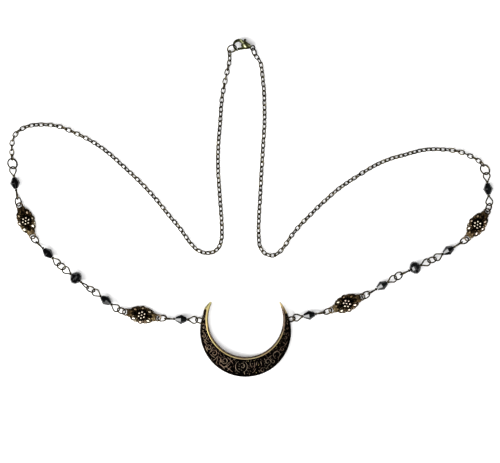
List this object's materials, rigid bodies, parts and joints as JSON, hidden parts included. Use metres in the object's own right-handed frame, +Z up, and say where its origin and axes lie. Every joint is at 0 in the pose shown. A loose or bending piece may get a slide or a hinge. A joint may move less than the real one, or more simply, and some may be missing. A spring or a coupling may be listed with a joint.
{
  "type": "hair chain",
  "caption": "Hair chain with a cast crescent, bead links and flower connectors, and a fine cable chain closed by a lobster clasp.",
  "frame": {"origin": "point on the floor under the middle of the chain's box", "axes": "+X to the right along the longest side as it lies, +Y from the crescent towards the clasp, +Z up"},
  "size_m": [0.2136, 0.1486, 0.0058],
  "materials": {
    "crescent_bronze": "cast, antique bronze plating, dark in the hollows and rubbed pale on the rims",
    "flower_bronze": "cast, antique bronze plating, rubbed bright on the balls and petal edges",
    "pin_bronze": "drawn wire, antique bronze plating",
    "ring_bronze": "drawn wire, antique bronze plating",
    "chain_bronze": "soldered wire links, antique bronze plating",
    "clasp_bronze": "die cast, antique bronze plating, rubbed pale",
    "black_glass": "cut black glass, polished"
  },
  "bodies": {
    "chain": {"crescent": "crescent_bronze", "flower_left_1": "flower_bronze", "flower_left_2": "flower_bronze", "flower_right_1": "flower_bronze", "flower_right_2": "flower_bronze", "pin_left_1": "pin_bronze", "pin_left_2": "pin_bronze", "pin_left_3": "pin_bronze", "pin_left_4": "pin_bronze", "pin_left_5": "pin_bronze", "pin_right_1": "pin_bronze", "pin_right_2": "pin_bronze", "pin_right_3": "pin_bronze", "pin_right_4": "pin_bronze", "pin_right_5": "pin_bronze", "bead_left_1": "black_glass", "bead_left_2": "black_glass", "bead_left_3": "black_glass", "bead_left_4": "black_glass", "bead_left_5": "black_glass", "bead_right_1": "black_glass", "bead_right_2": "black_glass", "bead_right_3": "black_glass", "bead_right_4": "black_glass", "bead_right_5": "black_glass", "ring_left_1": "ring_bronze", "ring_left_2": "ring_bronze", "ring_left_3": "ring_bronze", "ring_left_4": "ring_bronze", "ring_left_5": "ring_bronze", "ring_left_6": "ring_bronze", "ring_left_7": "ring_bronze", "ring_left_8": "ring_bronze", "ring_right_1": "ring_bronze", "ring_right_2": "ring_bronze", "ring_right_3": "ring_bronze", "ring_right_4": "ring_bronze", "ring_right_5": "ring_bronze", "ring_right_6": "ring_bronze", "ring_right_7": "ring_bronze", "ring_right_8": "ring_bronze", "chain_left": "chain_bronze", "chain_right": "chain_bronze", "clasp_ring": "ring_bronze", "tail_ring": "ring_bronze", "clasp_body": "clasp_bronze"},
    "lever": {"clasp_lever": "clasp_bronze"}
  },
  "joints": [
    {"name": "lever_turn", "type": "hinge", "parent": "chain", "child": "lever", "pos_m": [-0.0023, 0.0709, 0.002], "axis": [0, 0, 1], "range_deg": [-25, 0], "stiffness_Nm_per_rad": 0.004, "springref_deg": 11.46}
  ]
}
